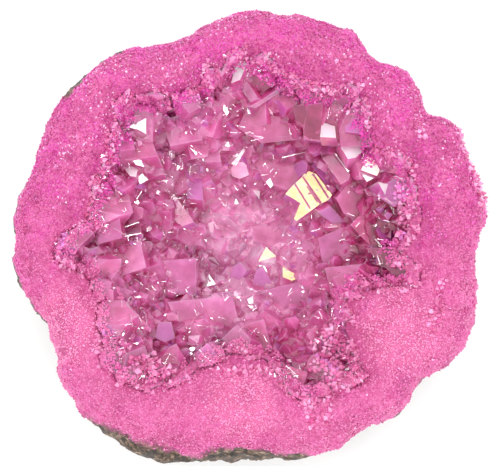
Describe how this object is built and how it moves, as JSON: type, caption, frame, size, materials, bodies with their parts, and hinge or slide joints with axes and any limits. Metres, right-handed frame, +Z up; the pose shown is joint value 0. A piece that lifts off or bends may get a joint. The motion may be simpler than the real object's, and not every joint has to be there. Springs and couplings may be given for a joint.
{
  "type": "aura quartz geode half",
  "caption": "Half geode with a sugary pink aura-coated rim around a hollow lined with translucent pink quartz crystals.",
  "frame": {"origin": "middle of the flat patch that the geode rests on, under the middle of its outline", "axes": "+Z up out of the hollow, +X along the longer width, +Y towards the back"},
  "size_m": [0.0995, 0.0953, 0.0401],
  "materials": {
    "coated_rock": "granular stone with an aura coating; grey-brown bare rind below",
    "quartz": "natural crystal faces with a thin aura coating"
  },
  "bodies": {
    "root": {"geode_shell": "coated_rock", "crystal_crust": "quartz"}
  },
  "joints": []
}
